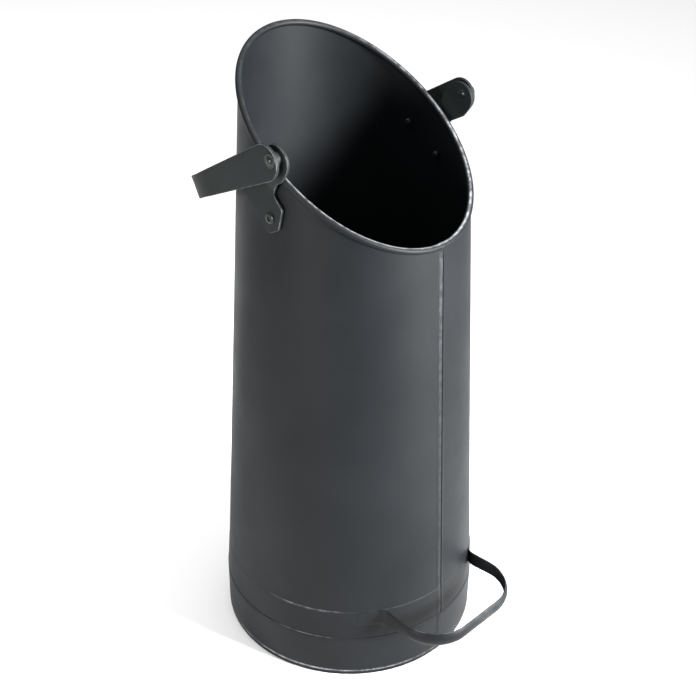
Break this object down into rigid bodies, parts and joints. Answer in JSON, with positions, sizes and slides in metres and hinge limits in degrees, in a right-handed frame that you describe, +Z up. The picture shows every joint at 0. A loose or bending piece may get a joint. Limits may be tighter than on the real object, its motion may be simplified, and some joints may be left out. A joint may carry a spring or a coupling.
{
  "type": "coal bucket",
  "caption": "Tall tapered sheet-steel coal bucket with a slanted pouring mouth, a swinging strip bail on riveted ears and a low tipping handle at the back.",
  "frame": {"origin": "centre of the foot's flat edge, on the floor and on the axis of the tapered body", "axes": "+Z up along the body's axis, +Y towards the high pouring side of the mouth, +X along the bail's pivot axis"},
  "size_m": [0.2432, 0.2932, 0.5636],
  "materials": {
    "shell_coat": "satin charcoal powder coat",
    "pan_coat": "satin charcoal powder coat",
    "foot_coat": "satin charcoal powder coat",
    "ear_coat": "satin charcoal powder coat",
    "bail_coat": "satin charcoal powder coat",
    "handle_coat": "satin charcoal powder coat",
    "rivet_coat": "satin charcoal powder coat over steel",
    "wire_steel": "drawn steel wire"
  },
  "bodies": {
    "bucket": {"body_shell": "shell_coat", "rim_wire": "wire_steel", "base_pan": "pan_coat", "foot_band": "foot_coat", "ear_left": "ear_coat", "ear_right": "ear_coat", "ear_rivets_left": "rivet_coat", "ear_rivets_right": "rivet_coat", "pivot_rivet_left": "rivet_coat", "pivot_rivet_right": "rivet_coat", "pivot_spacer_left": "rivet_coat", "pivot_spacer_right": "rivet_coat", "tipping_handle": "handle_coat"},
    "bail": {"bail": "bail_coat"}
  },
  "joints": [
    {"name": "bail_pivot", "type": "hinge", "parent": "bucket", "child": "bail", "pos_m": [0, -0.0252, 0.5053], "axis": [1, 0, 0], "range_deg": [0, 262.3]}
  ]
}
